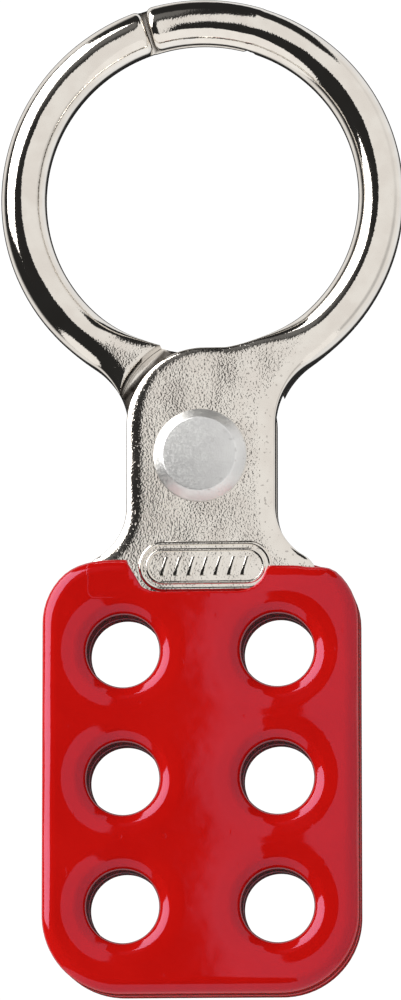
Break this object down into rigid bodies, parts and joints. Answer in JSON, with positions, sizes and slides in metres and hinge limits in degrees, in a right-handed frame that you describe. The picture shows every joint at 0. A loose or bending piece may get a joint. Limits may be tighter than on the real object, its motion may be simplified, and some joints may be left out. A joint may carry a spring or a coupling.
{
  "type": "lockout hasp",
  "caption": "Scissor-action lockout hasp: round steel jaw, riveted pivot, and vinyl-coated handle plates pierced for padlock shackles.",
  "frame": {"origin": "centre of the closed jaw opening, midway between the two arms", "axes": "+Z from the handle up to the jaw, -Y out of the front face, +X to the front arm's jaw"},
  "size_m": [0.049, 0.0098, 0.1216],
  "materials": {
    "nickel_plate": "nickel plate over cast-textured steel, brighter on the jaw bar",
    "red_vinyl": "glossy dipped vinyl",
    "rivet_steel": "turned, satin"
  },
  "bodies": {
    "rear_half": {"rear_arm": "nickel_plate", "rear_coat": "red_vinyl", "pivot_rivet": "rivet_steel"},
    "front_half": {"front_arm": "nickel_plate", "front_coat": "red_vinyl"}
  },
  "joints": [
    {"name": "jaw_hinge", "type": "hinge", "parent": "rear_half", "child": "front_half", "pos_m": [0, 0, -0.0321], "axis": [0, 1, 0], "range_deg": [0, 75]}
  ]
}
